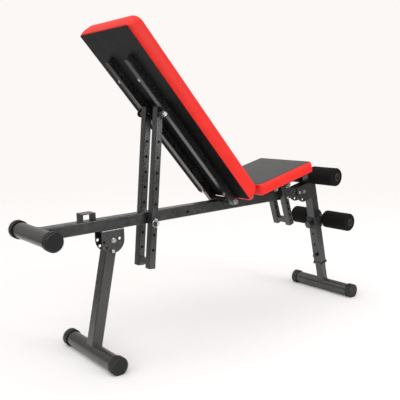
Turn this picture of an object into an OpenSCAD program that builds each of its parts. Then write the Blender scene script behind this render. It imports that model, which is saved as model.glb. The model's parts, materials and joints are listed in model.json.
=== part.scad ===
// Folding decline sit up bench, millimetres, +Z up.
// Origin: on the floor, on the mirror plane (Y = 0), half way along the bench.
// +X runs from the rear handle to the foam rollers, +Y is the far side.

/* [Frame tube] */
// Side of the square tube used for the beam and the two legs
tube_side = 38; // [30:1:50]
// Wall of the square tubes
tube_wall = 2; // [1.2:0.1:3]
// Rise of the beam towards the rollers, degrees
beam_rise = 1.43; // [0:0.01:6]
// Height of the beam centreline above the origin
beam_height = 445.1; // [380:0.1:500]

/* [Handle and feet] */
// Diameter of the cross tubes
cross_tube_d = 50; // [40:1:60]
// Width over the caps of each foot
foot_width = 325; // [280:1:450]
// Width over the caps of the rear handle
handle_width = 265; // [220:1:330]
// Distance from the origin to the handle and to the front foot
half_length = 670; // [600:1:720]
// Diameter over the ribs of a cap
cap_d = 58; // [54:1:66]
// Visible length of a cap
cap_length = 27; // [14:1:30]
// Height of the cross tube centre above the floor
foot_height = 26.5; // [26:0.5:28]

/* [Rear leg] */
// Position of the rear leg pivot along X
rear_pivot_x = -421; // [-460:1:-380]
// Drop of the rear leg pivot under the beam
rear_pivot_drop = 34.5; // [33:0.5:45]
// Lean of the rear leg, degrees
rear_lean = 11.34; // [5:0.01:20]

/* [Front leg] */
// Position of the front leg pivot along X
front_pivot_x = 497.3; // [470:0.1:520]
// Distance from the front pivot to the leg centreline
front_leg_offset = 66; // [60:1:80]
// Lean of the front leg, degrees
front_lean = 13.66; // [5:0.01:20]
// Side of the sliding inner tube
inner_side = 32; // [28:0.5:33]
// Spacing of the locking holes in the legs
leg_hole_pitch = 51; // [25:1:60]

/* [Foam rollers] */
// Outside diameter of a foam roller
roller_d = 75; // [60:1:90]
// Length of a foam roller
roller_length = 124; // [100:1:160]
// Diameter of the roller bars
bar_d = 25; // [19:1:28]

/* [Backrest] */
// Angle of the backrest above the floor, degrees
back_angle = 48; // [45:0.5:50]
// Length of the backrest cushion
back_length = 757; // [650:1:800]
// Width of the backrest cushion
back_width = 292; // [240:1:300]
// Thickness of the backrest cushion with its board
back_thick = 60; // [45:1:70]
// Spacing of the locking holes in the backrest strut
strut_pitch = 51; // [40:1:60]

/* [Seat] */
// Angle of the seat above the floor, degrees
seat_angle = 14; // [12:0.5:16]
// Length of the seat cushion
seat_length = 295; // [250:1:310]
// Width of the seat cushion
seat_width = 280; // [250:1:300]
// Thickness of the seat cushion with its board
seat_thick = 44.5; // [40:0.5:50]

/* [Hidden] */
$fn = 64;
fit = 0.05;             // gap around every turning or sliding shaft
side_gap = 0.4;         // gap between a bracket plate and the tube inside it
plate = 3;              // steel plate thickness
corner_r = 3;           // outside corner radius of the square tubes
sheet_gap = 0.01;       // cross plates run this far into the bracket's side plates
cut = 60;               // half length of a cutter that passes right through a tube
bolt_d = 8;             // pivot bolts and strut bolts
hinge_bolt_d = 10;
rail_bolt_d = 6;
pin_d = 9.9;
pin_hole_d = 10;
loose_hole_d = 10.2;    // a pin hole that only has to let the pin through
pin_travel = 4;         // how far a lock pin is drawn back from the beam or leg
tip_gap = 0.2;          // pin tip to the piece it locks
seat_clear = 0.04;      // added to a round seat cut for a tube that is welded in

// rails under the cushions and the struts between them
rail_w = 20;
rail_h = 25;
rail_y = 57;            // centre of a rail from the mirror plane
rail_solid_end = 14;    // solid eye at the hinge end of a rail
strut_side = 25;
strut_y = tube_side / 2 + 1.5 + strut_side / 2;
strut_axis_back = 8;    // strut bolt behind the back face of the rail
ear_y = rail_y + rail_w / 2;
hinge_seat_y = ear_y + 0.3;   // hinge bolt heads and nuts bear on the rails here
hinge_tip_y = ear_y + 12;     // free end of a hinge bolt
board_thick = 12;
bolt_grip = 8;          // rail bolt inside its board
skin = 4;               // cushion showing around its board
back_corner = 12;
back_edge = 20;
seat_corner = 12;
seat_edge = 9.5;

// hinge points in the X-Z plane
back_hinge = [66, 462];
seat_hinge = [143, 473.5];
back_strut_at = 445;    // from the hinge up the rails
seat_strut_at = 205;
back_strut_lean = 4.57;
seat_strut_lean = -18.26;
back_strut_first = 91;  // first hole from the strut bolt
back_strut_holes = 8;
back_strut_used = 5;    // number of pitches from the first hole to the pin
back_strut_length = 509;
seat_strut_first = 57;
seat_strut_holes = 5;
seat_strut_pitch = strut_pitch / 2;
seat_strut_length = 178;
strut_head = 20;        // strut beyond its bolt
strut_cross_up = 18;    // centre of a strut's cross piece above its foot

back_rail_length = 651;
seat_rail_length = 250;
seat_front = 286;       // front end of the cushion from the seat hinge
seat_start = seat_front - seat_length;
back_start = -1;        // lower end of the backrest cushion from its hinge
back_bolt_at = [54, 579];
seat_bolt_at = [45, 150];

// half moon brackets
moon_r = 41;
moon_pin_r = 33;
moon_pitch = 38.6;
spare_hole_at = [23.5, 3.5];    // fourth hole of the rear bracket, from its pivot
front_moon_r = 43;
front_moon_top = 27;

rear_leg_top = 16;      // rear leg above its pivot

// front leg, measured along the leg from the pivot level
leg_top = 72;
leg_bottom = -352;
inner_top = -190;
upper_bar_level = 51;
upper_bar_x = 68;
lower_bar_level = -164;
lower_bar_x = 115.5;
sleeve_level = -162;
sleeve_height = 49;
sleeve_wall = 4;
foot_knob_level = -314;
roller_gap = 24;        // inner end of a roller from the mirror plane
bar_proud = 0.5;        // roller bars reach this far past the rollers
bar_end = roller_gap + roller_length + bar_proud;

hinge_tube_d = 25;
hinge_tube_length = 92;
spare_pin_x = -116;     // beam hole for a second backrest strut setting
spare_pin_drop = 3;
beam_front_reach = 26;  // beam beyond the front pivot

saddle_x = -500.5;
saddle_length = 46;
saddle_height = 25;

graphite = [0.25, 0.25, 0.27];
black = [0.08, 0.08, 0.09];
zinc = [0.75, 0.75, 0.77];
red = [0.82, 0.06, 0.07];
board_black = [0.13, 0.13, 0.14];

function beam_z(x) = beam_height + x * tan(beam_rise);
function rot_xz(v, a) = [v[0] * cos(a) + v[1] * sin(a), -v[0] * sin(a) + v[1] * cos(a)];

half_tube = tube_side / 2;
rear_pivot = [
    rear_pivot_x + (half_tube + rear_pivot_drop) * sin(beam_rise),
    beam_z(rear_pivot_x) - (half_tube + rear_pivot_drop) * cos(beam_rise)
];
front_pivot = [front_pivot_x, beam_z(front_pivot_x)];
rear_leg_length = (rear_pivot[1] - foot_height) / cos(rear_lean);
foot_level = (foot_height - front_pivot[1] - front_leg_offset * sin(front_lean)) / cos(front_lean);
strut_bolt_z = -(rail_h / 2 + strut_axis_back);
back_strut_bolt = back_hinge + rot_xz([-back_strut_at, strut_bolt_z], back_angle);
seat_strut_bolt = seat_hinge + rot_xz([seat_strut_at, strut_bolt_z], -seat_angle);
back_pin_at = back_strut_first + back_strut_used * strut_pitch;
back_pin_pos = back_strut_bolt + rot_xz([0, -back_pin_at], back_strut_lean);
seat_pin_pos = seat_strut_bolt + rot_xz([0, -seat_strut_first], seat_strut_lean);
plate_in = half_tube + side_gap;
plate_out = plate_in + plate;

// ---------- placing ----------

// Along the beam: x is the distance along +X, local X follows the beam
module on_beam(x) {
    translate([x, 0, beam_z(x)]) rotate([0, -beam_rise, 0]) children();
}

module at_rear_pivot() {
    translate([rear_pivot[0], 0, rear_pivot[1]]) children();
}

module on_rear_leg() {
    at_rear_pivot() rotate([0, rear_lean, 0]) children();
}

module on_front_leg() {
    translate([front_pivot[0], 0, front_pivot[1]]) rotate([0, -front_lean, 0]) children();
}

// Local X runs up the backrest, local Z out of the cushion face
module on_back() {
    translate([back_hinge[0], 0, back_hinge[1]]) rotate([0, back_angle, 0]) rotate([0, 0, 180]) children();
}

module on_seat() {
    translate([seat_hinge[0], 0, seat_hinge[1]]) rotate([0, -seat_angle, 0]) children();
}

module on_back_strut() {
    translate([back_strut_bolt[0], 0, back_strut_bolt[1]]) rotate([0, back_strut_lean, 0]) children();
}

module on_seat_strut() {
    translate([seat_strut_bolt[0], 0, seat_strut_bolt[1]]) rotate([0, seat_strut_lean, 0]) children();
}

module both_sides() {
    children();
    mirror([0, 1, 0]) children();
}

// ---------- basic shapes ----------

module round_square(w, h, r) {
    square([w - 2 * r, h], center = true);
    square([w, h - 2 * r], center = true);
    for (sx = [-1, 1], sy = [-1, 1]) {
        translate([sx * (w / 2 - r), sy * (h / 2 - r)]) circle(r = r, $fn = 32);
    }
}

// Cylinder along Y, from y0 to y1
module rod_y(d, y0, y1) {
    translate([0, y0, 0]) rotate([-90, 0, 0]) cylinder(d = d, h = y1 - y0);
}

// Cylinder along X, from x0 to x1
module rod_x(d, x0, x1) {
    translate([x0, 0, 0]) rotate([0, 90, 0]) cylinder(d = d, h = x1 - x0);
}

// Rounded square tube standing on Z
module tube_z(side, wall, z0, z1, r = corner_r) {
    translate([0, 0, z0]) linear_extrude(z1 - z0) difference() {
        round_square(side, side, r);
        round_square(side - 2 * wall, side - 2 * wall, max(r - wall, 0.6));
    }
}

// Plug for the +Z end of a square tube: a flat head, and a stem inside the tube
module square_plug(side, head, stem) {
    inside = side - 2 * tube_wall - 2 * fit;
    linear_extrude(head) round_square(side, side, 2);
    translate([0, 0, -stem]) linear_extrude(stem + 0.5) round_square(inside, inside, 1);
}

// Cross tube along Y
module cross_tube(length) {
    difference() {
        rod_y(cross_tube_d, -length / 2, length / 2);
        rod_y(cross_tube_d - 2 * tube_wall, -length / 2 - 1, length / 2 + 1);
    }
}

// Ribbed plastic cap on the +Y end of a cross tube of the given half length
module ribbed_cap(y_end) {
    ribs = 28;
    rib_depth = 2.2;
    pitch = 360 / ribs;
    outer_r = cap_d / 2;
    valley_r = outer_r - rib_depth;
    rib_corners = [[0, outer_r], [0.45, outer_r], [0.5, valley_r], [0.95, valley_r]];
    rim = 2;
    plug_depth = 15;
    translate([0, y_end + 2 * sheet_gap, 0]) rotate([-90, 0, 0]) {
        linear_extrude(cap_length - rim) {
            polygon([
                for (i = [0 : ribs - 1], c = rib_corners)
                    let (a = (i + c[0] - 0.225) * pitch)
                    [c[1] * cos(a), c[1] * sin(a)]
            ]);
        }
        translate([0, 0, cap_length - rim]) cylinder(r1 = valley_r, r2 = valley_r - 2, h = rim);
        translate([0, 0, -plug_depth])
            cylinder(d = cross_tube_d - 2 * tube_wall - 2 * fit, h = plug_depth + 0.5);
    }
}

// Hexagon bolt along +Y: head outside y_head, shank reaching y_tip
module hex_bolt(d, y_head, y_tip) {
    rod_y(d, y_head, y_tip);
    translate([0, y_head, 0]) rotate([90, 0, 0]) washer_and_hex(d, 0.6 * d);
}

module washer_and_hex(d, height) {
    washer = 1.5;
    cylinder(d = 2.1 * d, h = washer);
    translate([0, 0, washer]) cylinder(d = 1.85 * d, h = height, $fn = 6);
}

// Hexagon nut and washer on the +Y side of y_face
module hex_nut(d, y_face) {
    difference() {
        translate([0, y_face, 0]) rotate([-90, 0, 0]) washer_and_hex(d, 0.8 * d);
        rod_y(d + 2 * fit, y_face - 1, y_face + d + 3);
    }
}

// Mushroom headed lock pin; the tip points to +Y
module lock_pin(y_tip, y_guide, d = pin_d) {
    tip = 1.2;
    head_gap = 1;           // head to guide with the pin pushed home
    neck = y_guide - pin_travel - head_gap;
    rod_y(d, neck, y_tip - tip);
    translate([0, y_tip - tip, 0]) rotate([-90, 0, 0]) cylinder(d1 = d, d2 = d - 2 * tip, h = tip);
    translate([0, neck, 0]) rotate([90, 0, 0]) rotate_extrude() {
        polygon([[0, 0], [5.3, 0], [5.8, 1], [6, 3], [5.8, 5], [4.6, 6.5], [0, 6.5]]);
    }
}

// ---------- beam and rear end ----------

module beam_hole(pos, d) {
    translate([pos[0], 0, pos[1]]) rod_y(d, -cut, cut);
}

module main_beam() {
    color(graphite) difference() {
        on_beam(0) rotate([0, 90, 0]) rotate([0, 0, 90])
            tube_z(tube_side, tube_wall, -half_length, front_pivot_x + beam_front_reach);
        beam_hole([-half_length, beam_z(-half_length)], cross_tube_d + seat_clear);
        beam_hole(back_hinge, hinge_tube_d + seat_clear);
        beam_hole(seat_hinge, hinge_tube_d + seat_clear);
        beam_hole(back_pin_pos, loose_hole_d);
        beam_hole([spare_pin_x, beam_z(spare_pin_x) - spare_pin_drop], loose_hole_d);
        beam_hole(seat_pin_pos, loose_hole_d);
        beam_hole(front_pivot, bolt_d + 2 * fit);
        on_beam(front_pivot_x - moon_pin_r * cos(beam_rise)) rod_y(loose_hole_d, -cut, cut);
    }
}

module beam_end_plug() {
    color(black) on_beam(0) rotate([0, 90, 0]) rotate([0, 0, 90])
        translate([0, 0, front_pivot_x + beam_front_reach]) square_plug(tube_side, 3, 8);
}

module handle_tube() {
    color(graphite) translate([-half_length, 0, beam_z(-half_length)])
        cross_tube(handle_width - 2 * cap_length);
}

module handle_caps() {
    color(black) translate([-half_length, 0, beam_z(-half_length)])
        both_sides() ribbed_cap(handle_width / 2 - cap_length);
}

// Low strap standing on the beam near the handle
module saddle() {
    color(graphite) on_beam(saddle_x) translate([0, 0, half_tube]) difference() {
        translate([-saddle_length / 2, -half_tube, 0]) cube([saddle_length, tube_side, saddle_height]);
        translate([-saddle_length / 2 + plate, -tube_side, -plate])
            cube([saddle_length - 2 * plate, 2 * tube_side, saddle_height]);
    }
}

// Half moon plate outline, straight side towards +Y of the sheet
module moon_plate(r, reach, angles, trim) {
    difference() {
        intersection() {
            union() {
                circle(r = r);
                translate([-r, 0]) square([2 * r, reach]);
            }
            translate([-r, -r]) square([r + trim, r + reach]);
        }
        circle(d = bolt_d + 2 * fit);
        for (a = angles) {
            translate([moon_pin_r * cos(a), moon_pin_r * sin(a)]) circle(d = pin_hole_d);
        }
    }
}

// Stands the sheet up: sheet X to +X, sheet Y to +Z, thickness towards +Y from y0
module upright_sheet(y0, t) {
    translate([0, y0 + t, 0]) rotate([90, 0, 0]) linear_extrude(t) children();
}

module rear_bracket() {
    used = 270 - rear_lean - beam_rise;
    angles = [for (k = [-2 : 0]) used + k * moon_pitch];
    color(graphite) at_rear_pivot() rotate([0, -beam_rise, 0]) {
        both_sides() upright_sheet(plate_in, plate) difference() {
            moon_plate(moon_r, rear_pivot_drop, angles, moon_r);
            translate(spare_hole_at) circle(d = pin_hole_d);
        }
        translate([-moon_r, -plate_in - sheet_gap, rear_pivot_drop - plate])
            cube([2 * moon_r, 2 * (plate_in + sheet_gap), plate]);
    }
}

module back_hinge_tube() {
    color(graphite) translate([back_hinge[0], 0, back_hinge[1]]) hinge_tube();
}

module seat_hinge_tube() {
    color(graphite) translate([seat_hinge[0], 0, seat_hinge[1]]) hinge_tube();
}

module hinge_tube() {
    difference() {
        rod_y(hinge_tube_d, -hinge_tube_length / 2, hinge_tube_length / 2);
        rod_y(hinge_bolt_d + 2 * fit, -hinge_tube_length, hinge_tube_length);
    }
}

module back_hinge_bolt() {
    color(zinc) translate([back_hinge[0], 0, back_hinge[1]])
        hex_bolt(hinge_bolt_d, -hinge_seat_y, hinge_tip_y);
}

module back_hinge_nut() {
    color(zinc) translate([back_hinge[0], 0, back_hinge[1]]) hex_nut(hinge_bolt_d, hinge_seat_y);
}

module seat_hinge_bolt() {
    color(zinc) translate([seat_hinge[0], 0, seat_hinge[1]])
        hex_bolt(hinge_bolt_d, -hinge_seat_y, hinge_tip_y);
}

module seat_hinge_nut() {
    color(zinc) translate([seat_hinge[0], 0, seat_hinge[1]]) hex_nut(hinge_bolt_d, hinge_seat_y);
}

module rear_pivot_bolt() {
    color(zinc) at_rear_pivot() hex_bolt(bolt_d, -plate_out, plate_out + 11);
}

module rear_pivot_nut() {
    color(zinc) at_rear_pivot() hex_nut(bolt_d, plate_out);
}

module rear_lock_pin() {
    color(zinc) on_rear_leg() translate([0, 0, -moon_pin_r]) lock_pin(-half_tube - tip_gap, -plate_out);
}

// ---------- rear leg ----------

module rear_leg() {
    color(graphite) difference() {
        on_rear_leg() difference() {
            tube_z(tube_side, tube_wall, -rear_leg_length, rear_leg_top);
            rod_y(bolt_d + 2 * fit, -tube_side, tube_side);
            translate([0, 0, -moon_pin_r]) rod_y(loose_hole_d, -tube_side, tube_side);
        }
        on_rear_leg() translate([0, 0, -rear_leg_length]) rod_y(cross_tube_d + seat_clear, -cut, cut);
    }
}

module rear_foot() {
    color(graphite) on_rear_leg() translate([0, 0, -rear_leg_length])
        cross_tube(foot_width - 2 * cap_length);
}

// Foot caps are flattened where they stand on the floor
module foot_caps(x) {
    difference() {
        translate([x, 0, foot_height]) both_sides() ribbed_cap(foot_width / 2 - cap_length);
        translate([x - cap_d, -foot_width, -cap_d]) cube([2 * cap_d, 2 * foot_width, cap_d]);
    }
}

module rear_foot_caps() {
    color(black) foot_caps(rear_pivot[0] - rear_leg_length * sin(rear_lean));
}

// ---------- front leg ----------

module front_pivot_bolt() {
    color(zinc) translate([front_pivot[0], 0, front_pivot[1]])
        hex_bolt(bolt_d, -plate_out, plate_out + 11);
}

module front_pivot_nut() {
    color(zinc) translate([front_pivot[0], 0, front_pivot[1]]) hex_nut(bolt_d, plate_out);
}

module front_bracket() {
    reach = front_leg_offset - half_tube;
    used = 180 - front_lean + beam_rise;
    angles = [for (k = [0 : 2]) 90 - used - k * moon_pitch];
    color(graphite) on_front_leg() {
        both_sides() upright_sheet(plate_in, plate) mirror([1, -1])
            moon_plate(front_moon_r, reach, angles, front_moon_top);
        translate([reach - plate, -plate_in - sheet_gap, -front_moon_r])
            cube([plate, 2 * (plate_in + sheet_gap), front_moon_r + front_moon_top]);
    }
}

module front_lock_pin() {
    color(zinc) on_beam(front_pivot_x - moon_pin_r * cos(beam_rise))
        lock_pin(-half_tube - tip_gap, -plate_out);
}

module leg_axis() {
    on_front_leg() translate([front_leg_offset, 0, 0]) children();
}

module front_leg() {
    color(graphite) leg_axis() difference() {
        tube_z(tube_side, tube_wall, leg_bottom, leg_top);
        translate([upper_bar_x - front_leg_offset, 0, upper_bar_level])
            rod_y(bar_d + seat_clear, -cut, cut);
        for (k = [0 : 2]) {
            translate([0, 0, sleeve_level - k * leg_hole_pitch]) rod_x(pin_hole_d, -tube_side, 0);
        }
        translate([0, 0, foot_knob_level]) rod_x(pin_hole_d, -tube_side, 0);
    }
}

module front_leg_plug() {
    color(black) leg_axis() translate([0, 0, leg_top]) square_plug(tube_side, 3, 6);
}

// Plastic guide between the leg and the sliding inner tube
module front_leg_collar() {
    outer = tube_side + 6;
    below = 5;
    lip = 3;
    leg_hole = tube_side + 2 * fit;
    inner_hole = inner_side + 2 * fit;
    color(black) leg_axis() translate([0, 0, leg_bottom]) difference() {
        translate([0, 0, -below]) linear_extrude(below + lip) round_square(outer, outer, 4);
        linear_extrude(2 * lip) round_square(leg_hole, leg_hole, corner_r);
        translate([0, 0, -2 * below]) linear_extrude(3 * below)
            round_square(inner_hole, inner_hole, corner_r);
    }
}

module roller_bar(x, z, bar_end) {
    on_front_leg() translate([x, 0, z]) difference() {
        rod_y(bar_d, -bar_end, bar_end);
        rod_y(bar_d - 2 * tube_wall, -bar_end - 1, bar_end + 1);
    }
}

// Round plastic plugs that keep the rollers on their bar
module bar_plugs(x, z, bar_end) {
    on_front_leg() translate([x, 0, z]) both_sides() {
        translate([0, bar_end, 0]) rotate([-90, 0, 0]) rotate_extrude()
            polygon([[0, 0], [16, 0], [16, 2], [13, 4.5], [0, 5.5]]);
        rod_y(bar_d - 2 * tube_wall - 2 * fit, bar_end - 12, bar_end + 0.5);
    }
}

// Foam sleeve on its bar, towards +Y
module roller(x, z) {
    edge = 5;
    r = roller_d / 2;
    bore_r = bar_d / 2 + fit;
    on_front_leg() translate([x, roller_gap, z]) rotate([-90, 0, 0]) rotate_extrude() {
        translate([bore_r, 0]) square([r - bore_r - edge, roller_length]);
        translate([bore_r, edge]) square([r - bore_r, roller_length - 2 * edge]);
        for (y = [edge, roller_length - edge]) {
            translate([r - edge, y]) circle(r = edge);
        }
    }
}

module upper_bar() {
    color(graphite) roller_bar(upper_bar_x, upper_bar_level, bar_end);
}

module upper_bar_plugs() {
    color(black) bar_plugs(upper_bar_x, upper_bar_level, bar_end);
}

module upper_roller_near() {
    color(black) mirror([0, 1, 0]) roller(upper_bar_x, upper_bar_level);
}

module upper_roller_far() {
    color(black) roller(upper_bar_x, upper_bar_level);
}

// Sleeve that slides on the leg and carries the lower roller bar on an arm
module roller_sleeve() {
    outer = tube_side + 2 * sleeve_wall;
    arm_end = lower_bar_x - front_leg_offset;
    arm_half_width = 15;
    arm_height = 34;
    color(black) leg_axis() difference() {
        union() {
            translate([0, 0, sleeve_level - sleeve_height / 2]) linear_extrude(sleeve_height)
                round_square(outer, outer, 5);
            translate([0, -arm_half_width, lower_bar_level - arm_height / 2])
                cube([arm_end, 2 * arm_half_width, arm_height]);
            translate([arm_end, 0, lower_bar_level])
                rod_y(arm_height, -arm_half_width, arm_half_width);
        }
        translate([0, 0, sleeve_level - sleeve_height]) linear_extrude(2 * sleeve_height)
            round_square(tube_side + 2 * fit, tube_side + 2 * fit, corner_r);
        translate([arm_end, 0, lower_bar_level]) rod_y(bar_d + seat_clear, -cut, cut);
        translate([0, 0, sleeve_level]) rod_x(pin_hole_d, -tube_side, 0);
    }
}

module lower_bar() {
    color(graphite) roller_bar(lower_bar_x, lower_bar_level, bar_end);
}

module lower_bar_plugs() {
    color(black) bar_plugs(lower_bar_x, lower_bar_level, bar_end);
}

module lower_roller_near() {
    color(black) mirror([0, 1, 0]) roller(lower_bar_x, lower_bar_level);
}

module lower_roller_far() {
    color(black) roller(lower_bar_x, lower_bar_level);
}

// Lobed hand knob on a plain pin; the pin tip points to +X and ends at x_tip
module hand_knob(x_tip, x_neck, knob_d, knob_h) {
    lobes = 6;
    rod_x(pin_d, x_neck - 1, x_tip);
    translate([x_neck, 0, 0]) rotate([0, -90, 0]) difference() {
        union() {
            cylinder(d = knob_d * 0.55, h = knob_h);
            translate([0, 0, knob_h * 0.35]) cylinder(d = knob_d, h = knob_h * 0.6);
        }
        for (i = [0 : lobes - 1]) {
            rotate(i * 360 / lobes) translate([knob_d * 0.58, 0, knob_h * 0.3])
                cylinder(d = knob_d * 0.3, h = knob_h);
        }
    }
}

module sleeve_knob() {
    rear_face = -half_tube - sleeve_wall;
    color(black) leg_axis() translate([0, 0, sleeve_level])
        hand_knob(-half_tube - tip_gap, rear_face - pin_travel - 0.5, 30, 20);
}

module foot_knob() {
    color(black) leg_axis() translate([0, 0, foot_knob_level])
        hand_knob(-inner_side / 2 - tip_gap, -half_tube - pin_travel - 0.5, 17, 10);
}

module inner_tube() {
    color(graphite) leg_axis() difference() {
        tube_z(inner_side, tube_wall, foot_level, inner_top);
        translate([0, 0, foot_level]) rod_y(cross_tube_d + seat_clear, -cut, cut);
        for (k = [0 : 2]) {
            translate([0, 0, foot_knob_level + k * leg_hole_pitch]) rod_x(loose_hole_d, -inner_side, 0);
        }
    }
}

module front_foot() {
    color(graphite) leg_axis() translate([0, 0, foot_level]) cross_tube(foot_width - 2 * cap_length);
}

module front_foot_caps() {
    foot = front_pivot + rot_xz([front_leg_offset, foot_level], -front_lean);
    color(black) foot_caps(foot[0]);
}

// ---------- cushions ----------

// Flat at the bottom, rounded at both upper corners
module pillow_outline(w, h, r) {
    translate([-w / 2, 0]) square([w, h - r]);
    translate([-w / 2 + r, 0]) square([w - 2 * r, h]);
    for (s = [-1, 1]) {
        translate([s * (w / 2 - r), h - r]) circle(r = r);
    }
}

// Cushion with rounded edges and a pocket for its board; underside at z0
module cushion(x0, length, width, thick, z0, corner, edge) {
    translate([x0 + length / 2, 0, z0]) difference() {
        intersection() {
            linear_extrude(thick) round_square(length, width, corner);
            rotate([90, 0, 90]) translate([0, 0, -length]) linear_extrude(2 * length)
                pillow_outline(width, thick, edge);
            rotate([90, 0, 0]) translate([0, 0, -width]) linear_extrude(2 * width)
                pillow_outline(length, thick, edge);
        }
        translate([0, 0, -1]) linear_extrude(board_thick + 1)
            round_square(length - 2 * skin, width - 2 * skin, corner - skin);
    }
}

module cushion_board(x0, length, width, z0, corner, bolts) {
    gap = skin + fit;
    translate([x0 + length / 2, 0, z0]) difference() {
        linear_extrude(board_thick - fit) round_square(length - 2 * gap, width - 2 * gap, corner - gap);
        for (b = bolts, s = [-1, 1]) {
            translate([b - x0 - length / 2, s * rail_y, -1])
                cylinder(d = rail_bolt_d + 2 * fit, h = bolt_grip + 2);
        }
    }
}

module rails(length, bolts) {
    both_sides() translate([0, rail_y, 0]) difference() {
        union() {
            rod_y(rail_h, -rail_w / 2, rail_w / 2);
            translate([0, -rail_w / 2, -rail_h / 2]) cube([length, rail_w, rail_h]);
        }
        translate([rail_solid_end, -rail_w / 2 + tube_wall, -rail_h / 2 + tube_wall])
            cube([length, rail_w - 2 * tube_wall, rail_h - 2 * tube_wall]);
        rod_y(hinge_bolt_d + 2 * fit, -rail_w, rail_w);
        for (b = bolts) {
            translate([b, 0, -rail_h]) cylinder(d = rail_bolt_d + 2 * fit, h = 2 * rail_h);
        }
    }
}

module rail_plugs(length) {
    head = 2.5;
    stem = 8;
    joined = 0.5;   // the stem runs this far into the head
    inner_w = rail_w - 2 * tube_wall - 2 * fit;
    inner_h = rail_h - 2 * tube_wall - 2 * fit;
    both_sides() translate([length, rail_y, 0]) {
        translate([0, -rail_w / 2, -rail_h / 2]) cube([head, rail_w, rail_h]);
        translate([-stem, -inner_w / 2, -inner_h / 2]) cube([stem + joined, inner_w, inner_h]);
    }
}

module rail_bolts(bolts) {
    both_sides() for (b = bolts) {
        translate([b, rail_y, -rail_h / 2]) rotate([90, 0, 0])
            hex_bolt(rail_bolt_d, 0, rail_h + bolt_grip);
    }
}

// Lugs welded to the outer faces of the rails for the strut bolts
module ears(at) {
    ear_r = 12;
    ear_half = 18;
    both_sides() translate([at, 0, 0]) upright_sheet(ear_y, plate) difference() {
        union() {
            translate([0, strut_bolt_z]) circle(r = ear_r);
            polygon([[-ear_half, 8], [-ear_r, strut_bolt_z], [ear_r, strut_bolt_z], [ear_half, 8]]);
        }
        translate([0, strut_bolt_z]) circle(d = bolt_d + 2 * fit);
    }
}

module strut_spacers(at) {
    both_sides() translate([at, 0, strut_bolt_z]) difference() {
        rod_y(15, strut_y + strut_side / 2 + tip_gap, ear_y);
        rod_y(bolt_d + 2 * fit, 0, 2 * ear_y);
    }
}

// Two square bars joined by a cross piece at the foot, with a row of pin holes
module strut(length, first, pitch, holes) {
    r = 2;
    cross_side = 20;
    half_cross = strut_y - strut_side / 2 + tube_wall / 2;
    difference() {
        union() {
            both_sides() translate([0, strut_y, 0]) tube_z(strut_side, tube_wall, -length, strut_head, r);
            translate([0, 0, -length + strut_cross_up]) rotate([90, 0, 0])
                tube_z(cross_side, tube_wall, -half_cross, half_cross, r);
        }
        rod_y(bolt_d + 2 * fit, -cut, cut);
        for (k = [0 : holes - 1]) {
            translate([0, 0, -first - k * pitch]) rod_y(pin_hole_d, -cut, cut);
        }
    }
}

module strut_plugs(length) {
    both_sides() translate([0, strut_y, 0]) {
        translate([0, 0, strut_head]) square_plug(strut_side, 2, 5);
        translate([0, 0, -length]) mirror([0, 0, 1]) square_plug(strut_side, 2, 5);
    }
}

// ---------- backrest ----------

module back_cushion() {
    color(red) on_back()
        cushion(back_start, back_length, back_width, back_thick, rail_h / 2, back_corner, back_edge);
}

module back_board() {
    color(board_black) on_back()
        cushion_board(back_start, back_length, back_width, rail_h / 2, back_corner, back_bolt_at);
}

module back_rails() {
    color(graphite) on_back() rails(back_rail_length, back_bolt_at);
}

module back_rail_plugs() {
    color(black) on_back() rail_plugs(back_rail_length);
}

module back_rail_bolts() {
    color(zinc) on_back() rail_bolts(back_bolt_at);
}

module back_ears() {
    color(graphite) on_back() ears(back_strut_at);
}

module back_strut_bolts() {
    color(zinc) on_back() translate([back_strut_at, 0, strut_bolt_z]) both_sides()
        hex_bolt(bolt_d, -ear_y - plate, -strut_y + strut_side / 2 + 10);
}

module back_strut_spacers() {
    color(zinc) on_back() strut_spacers(back_strut_at);
}

module back_strut_nuts() {
    color(zinc) on_back() translate([back_strut_at, 0, strut_bolt_z])
        both_sides() hex_nut(bolt_d, -strut_y + strut_side / 2 + tip_gap);
}

module back_strut() {
    color(graphite) on_back_strut()
        strut(back_strut_length, back_strut_first, strut_pitch, back_strut_holes);
}

module back_strut_plugs() {
    color(black) on_back_strut() strut_plugs(back_strut_length);
}

// Lock pin with a pull ring hanging from its head
module back_pin() {
    ring_r = 12;
    ring_wire = 2.6;
    ring_in_head = 2.5;   // from the back of the head to the middle of the ring
    bar_face = -strut_y - strut_side / 2;
    color(zinc) on_back_strut() translate([0, 0, -back_pin_at]) {
        lock_pin(-half_tube - tip_gap, bar_face);
        translate([0, bar_face - pin_travel - ring_in_head, -ring_r]) rotate([90, 0, 0]) rotate_extrude()
            translate([ring_r, 0]) circle(d = ring_wire, $fn = 24);
    }
}

// ---------- seat ----------

module seat_cushion() {
    color(red) on_seat()
        cushion(seat_start, seat_length, seat_width, seat_thick, rail_h / 2, seat_corner, seat_edge);
}

module seat_board() {
    color(board_black) on_seat()
        cushion_board(seat_start, seat_length, seat_width, rail_h / 2, seat_corner, seat_bolt_at);
}

module seat_rails() {
    color(graphite) on_seat() rails(seat_rail_length, seat_bolt_at);
}

module seat_rail_bolts() {
    color(zinc) on_seat() rail_bolts(seat_bolt_at);
}

module seat_ears() {
    color(graphite) on_seat() ears(seat_strut_at);
}

// Each bolt ends flush inside its strut bar, so the beam can pass between the bars
module seat_strut_bolts() {
    color(zinc) on_seat() translate([seat_strut_at, 0, strut_bolt_z]) both_sides()
        hex_bolt(bolt_d, -ear_y - plate, -strut_y + strut_side / 2);
}

module seat_strut_spacers() {
    color(zinc) on_seat() strut_spacers(seat_strut_at);
}

module seat_strut() {
    color(graphite) on_seat_strut()
        strut(seat_strut_length, seat_strut_first, seat_strut_pitch, seat_strut_holes);
}

module seat_pin() {
    color(zinc) on_seat_strut() translate([0, 0, -seat_strut_first])
        lock_pin(-half_tube - tip_gap, -strut_y - strut_side / 2);
}

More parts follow.
